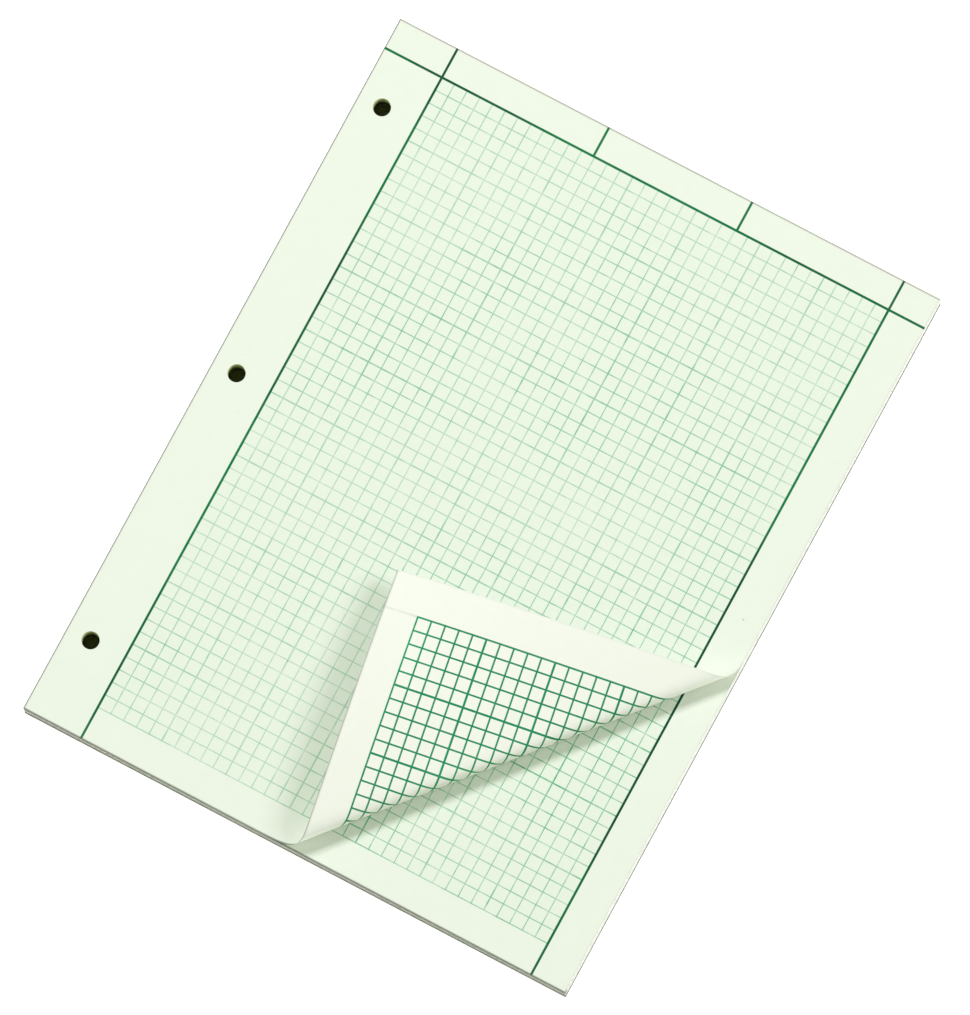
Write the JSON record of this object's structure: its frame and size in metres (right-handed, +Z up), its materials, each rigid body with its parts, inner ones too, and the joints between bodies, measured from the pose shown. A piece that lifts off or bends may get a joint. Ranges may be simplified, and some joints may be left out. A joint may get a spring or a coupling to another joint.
{
  "type": "engineering computation pad",
  "caption": "Gum-bound letter pad of pale green squared paper on a chipboard back, punched with ring holes, its top sheet curled over at the lower right corner.",
  "frame": {"origin": "middle of the chipboard back's underside", "axes": "+X to the right of the page, +Y to its top edge, +Z up out of the writing side"},
  "size_m": [0.216, 0.2797, 0.0238],
  "materials": {
    "chipboard": "matt grey-brown board with short fibres",
    "paper": "matt uncoated paper, pale green, ruled in green",
    "gum": "thin flexible padding gum, slightly glossy"
  },
  "bodies": {
    "root": {"backing_board": "chipboard", "sheet_block": "paper", "top_sheet": "paper", "gum_binding": "gum"}
  },
  "joints": []
}
